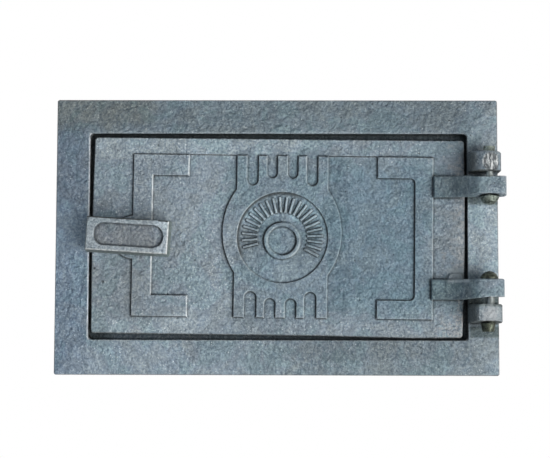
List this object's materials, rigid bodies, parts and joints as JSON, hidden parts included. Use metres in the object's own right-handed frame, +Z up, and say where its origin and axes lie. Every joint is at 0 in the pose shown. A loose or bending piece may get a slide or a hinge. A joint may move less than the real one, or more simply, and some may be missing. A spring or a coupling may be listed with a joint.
{
  "type": "ash pit door",
  "caption": "Cast-iron ash pit door for a masonry stove: bevelled wall frame with rear collar, relief-cast leaf on riveted strap hinges, turn handle and rear latch tongue.",
  "frame": {"origin": "centre of the flange's outer rectangle, in the plane of the flange's back face that lies on the brickwork", "axes": "+Y from the front towards the wall, along the back face's outward normal; +X to the right as seen from the front, along the long side; +Z up"},
  "size_m": [0.2998, 0.0659, 0.1844],
  "materials": {
    "frame_iron": "as cast, bluish grey, speckled",
    "leaf_iron": "as cast, bluish grey, speckled",
    "latch_iron": "as cast with rubbed edges",
    "rivet_steel": "dark hot-forged steel"
  },
  "bodies": {
    "frame": {"frame": "frame_iron", "upper_hinge_pin": "rivet_steel", "lower_hinge_pin": "rivet_steel"},
    "door": {"door_leaf": "leaf_iron"},
    "latch": {"latch_handle": "latch_iron", "latch_tongue": "latch_iron"}
  },
  "joints": [
    {"name": "door_hinge", "type": "hinge", "parent": "frame", "child": "door", "pos_m": [0.1406, -0.01824, 0], "axis": [0, 0, 1], "range_deg": [0, 175]},
    {"name": "latch_turn", "type": "hinge", "parent": "door", "child": "latch", "pos_m": [-0.0954, -0.012, -0.00075], "axis": [0, -1, 0], "range_deg": [0, 90]}
  ]
}
